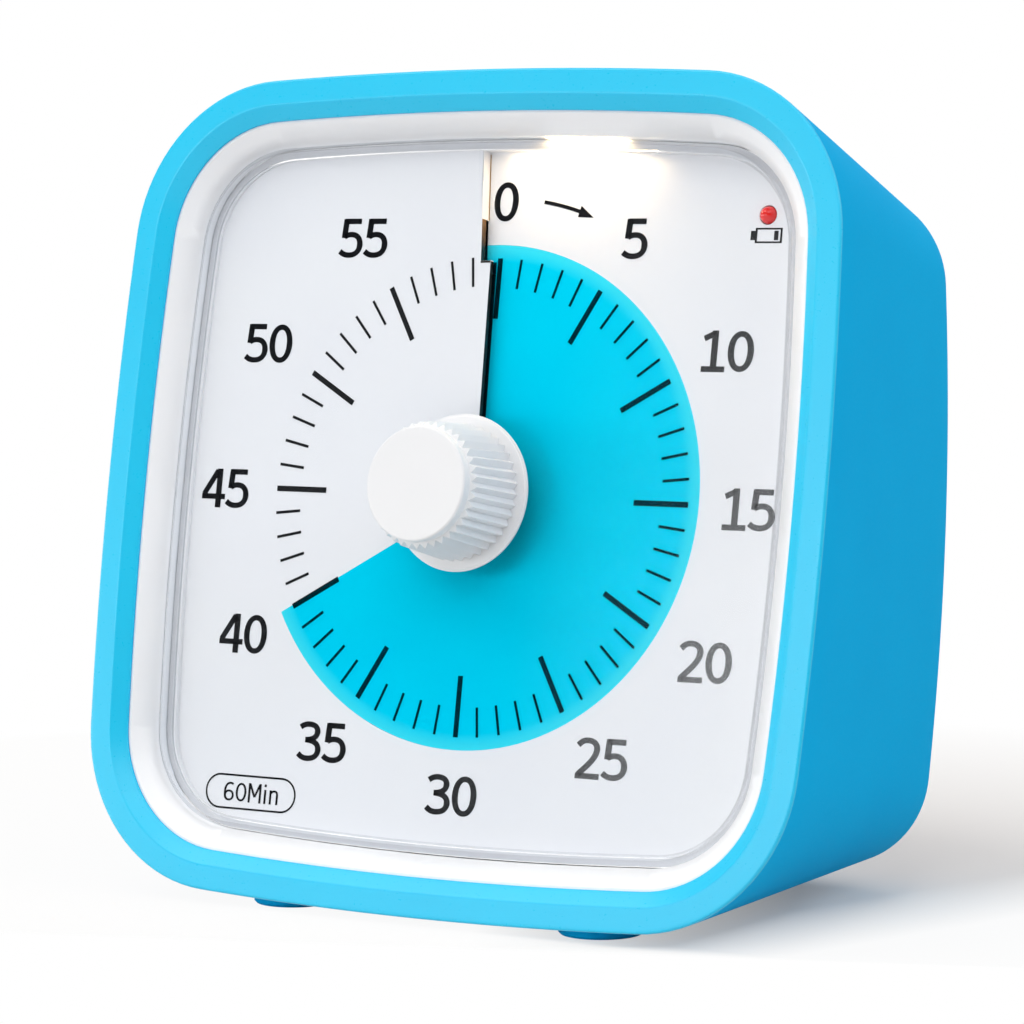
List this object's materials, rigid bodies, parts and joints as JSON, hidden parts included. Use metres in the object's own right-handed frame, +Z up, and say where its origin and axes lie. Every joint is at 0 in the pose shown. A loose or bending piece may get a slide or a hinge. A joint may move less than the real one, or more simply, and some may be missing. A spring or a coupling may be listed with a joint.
{
  "type": "visual countdown timer",
  "caption": "Desk timer whose coloured disc shows the minutes left; a knob on the clear front sets it and a soft sleeve wraps the leaning case.",
  "frame": {"origin": "centre of the footprint, on the surface that the rubber feet stand on", "axes": "+Z up; -Y the side that the leaning dial faces; +X to the right as seen from the front"},
  "size_m": [0.1098, 0.0648, 0.1096],
  "materials": {
    "sleeve_blue": "satin moulded silicone",
    "foot_rubber": "matte moulded silicone",
    "case_white": "fine satin moulding",
    "lens_clear": "polished clear acrylic",
    "dial_white": "printed satin",
    "film_blue": "satin coloured film",
    "knob_white": "satin moulding",
    "screw_steel": "zinc plated",
    "shaft_steel": "ground",
    "bush_brass": "turned",
    "gear_acetal": "moulded acetal",
    "magnet_dark": "sintered magnet",
    "frame_black": "moulded",
    "copper_wire": "enamelled copper winding",
    "lead_red": "insulated wire",
    "lead_white": "insulated wire",
    "cell_jacket": "printed jacket on steel",
    "contact_nickel": "nickel plated",
    "pcb_green": "solder mask",
    "can_aluminium": "drawn can",
    "buzzer_black": "moulded",
    "switch_metal": "tin plated",
    "slider_white": "moulded",
    "led_white": "phosphor in white package",
    "led_red": "tinted epoxy"
  },
  "bodies": {
    "case": {"silicone_sleeve": "sleeve_blue", "feet": "foot_rubber", "front_bezel": "case_white", "lens": "lens_clear", "dial_plate": "dial_white", "dial_screws": "screw_steel", "shaft_bush": "bush_brass", "wheel_arbors": "shaft_steel", "movement_front_plate": "frame_black", "movement_case": "frame_black", "movement_screws": "screw_steel", "stator": "switch_metal", "coil_bobbin": "frame_black", "coil_winding": "copper_wire", "coil_leads": "lead_red", "rear_housing": "case_white", "case_screws": "screw_steel", "aa_cells": "cell_jacket", "battery_plates": "contact_nickel", "battery_springs": "contact_nickel", "battery_leads": "lead_red", "main_pcb": "pcb_green", "pcb_screws": "screw_steel", "controller_chip": "buzzer_black", "crystal": "can_aluminium", "capacitor": "can_aluminium", "buzzer": "buzzer_black", "volume_switch": "switch_metal", "light_switch": "switch_metal", "night_light_board": "pcb_green", "night_light_leds": "led_white", "night_light_leads": "lead_white", "low_battery_led": "led_red", "led_board": "pcb_green", "low_battery_leads": "lead_white"},
    "knob_set": {"knob": "knob_white", "shaft": "shaft_steel", "disc_hub": "gear_acetal", "retaining_clip": "shaft_steel", "clutch_spring": "contact_nickel"},
    "output": {"output_wheel": "gear_acetal"},
    "disc": {"countdown_disc": "film_blue"},
    "third": {"third_wheel": "gear_acetal"},
    "second": {"second_wheel": "gear_acetal"},
    "rotor": {"rotor_pinion": "gear_acetal", "rotor_magnet": "magnet_dark"},
    "volume_key": {"volume_slider": "slider_white"},
    "light_key": {"light_slider": "slider_white"},
    "door": {"battery_door": "case_white"}
  },
  "joints": [
    {"name": "knob_turn", "type": "hinge", "parent": "case", "child": "knob_set", "pos_m": [0, -0.01579, 0.05411], "axis": [0, -0.9848, 0.1736], "range_deg": [-120, 240]},
    {"name": "disc_feed", "type": "slide", "parent": "knob_set", "child": "disc", "axis": [0, -0.9848, 0.1736], "range_m": [-0.00107, 0.00054]},
    {"name": "rotor_turn", "type": "hinge", "parent": "case", "child": "rotor", "pos_m": [-0.00777, -0.00269, 0.07083], "axis": [0, -0.9848, 0.1736], "continuous": true},
    {"name": "second_turn", "type": "hinge", "parent": "case", "child": "second", "pos_m": [0.00257, -0.003, 0.06903], "axis": [0, -0.9848, 0.1736], "continuous": true},
    {"name": "third_turn", "type": "hinge", "parent": "case", "child": "third", "pos_m": [0.01167, -0.00392, 0.06387], "axis": [0, -0.9848, 0.1736], "continuous": true},
    {"name": "output_turn", "type": "hinge", "parent": "case", "child": "output", "pos_m": [0, -0.00717, 0.05259], "axis": [0, -0.9848, 0.1736], "continuous": true},
    {"name": "volume_slide", "type": "slide", "parent": "case", "child": "volume_key", "axis": [1, 0, 0], "range_m": [-0.002, 0.002]},
    {"name": "light_slide", "type": "slide", "parent": "case", "child": "light_key", "axis": [1, 0, 0], "range_m": [-0.002, 0]},
    {"name": "door_lift", "type": "slide", "parent": "case", "child": "door", "axis": [0, 0.9974, -0.0715], "range_m": [0, 0.03]}
  ],
  "couplings": [
    {"joint": "disc_feed", "follows": "knob_turn", "m_per_rad": -0.00025465},
    {"joint": "second_turn", "follows": "rotor_turn", "ratio": -0.16667},
    {"joint": "third_turn", "follows": "rotor_turn", "ratio": 0.027778},
    {"joint": "output_turn", "follows": "rotor_turn", "ratio": -0.0027778}
  ]
}
